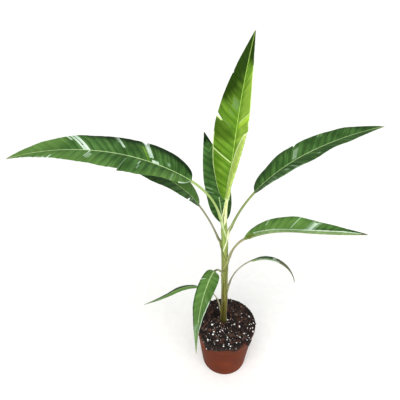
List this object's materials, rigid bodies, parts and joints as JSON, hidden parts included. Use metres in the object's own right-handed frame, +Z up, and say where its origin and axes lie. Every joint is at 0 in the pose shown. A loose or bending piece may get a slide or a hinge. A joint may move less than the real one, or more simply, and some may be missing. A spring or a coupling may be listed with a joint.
{
  "type": "potted banana plant",
  "caption": "Young variegated banana plant with arching split leaves on a slim pseudostem, growing in a round tapered plastic nursery pot filled with bark and perlite mix.",
  "frame": {"origin": "centre of the pot's flat underside, where the plant stands", "axes": "+Z up along the pot's axis, -Y towards the side that is seen from the front, +X to the right of that side"},
  "size_m": [0.4965, 0.1909, 0.5876],
  "materials": {
    "pot": "moulded terracotta-coloured polypropylene, satin, with soil stains under the rim",
    "soil": "damp dark bark and peat mix with white perlite grains",
    "pseudostem": "smooth overlapping leaf sheaths, olive below and pale yellow-green above",
    "petiole": "smooth pale green leaf stalks",
    "blade": "green leaf with fine parallel veins, a pale midrib and white variegated streaks",
    "blade_spear": "young leaf, bright yellow-green with a pale midrib and cream streaks"
  },
  "bodies": {
    "root": {"pot": "pot", "soil": "soil", "pseudostem": "pseudostem", "petiole_spear": "petiole", "blade_spear": "blade_spear", "petiole_left_upper": "petiole", "blade_left_upper": "blade", "petiole_left_under": "petiole", "blade_left_under": "blade", "petiole_back": "petiole", "blade_back": "blade", "petiole_right_upper": "petiole", "blade_right_upper": "blade", "petiole_right_middle": "petiole", "blade_right_middle": "blade", "petiole_right_low": "petiole", "blade_right_low": "blade", "petiole_front_left": "petiole", "blade_front_left": "blade", "petiole_left_low": "petiole", "blade_left_low": "blade"}
  },
  "joints": []
}
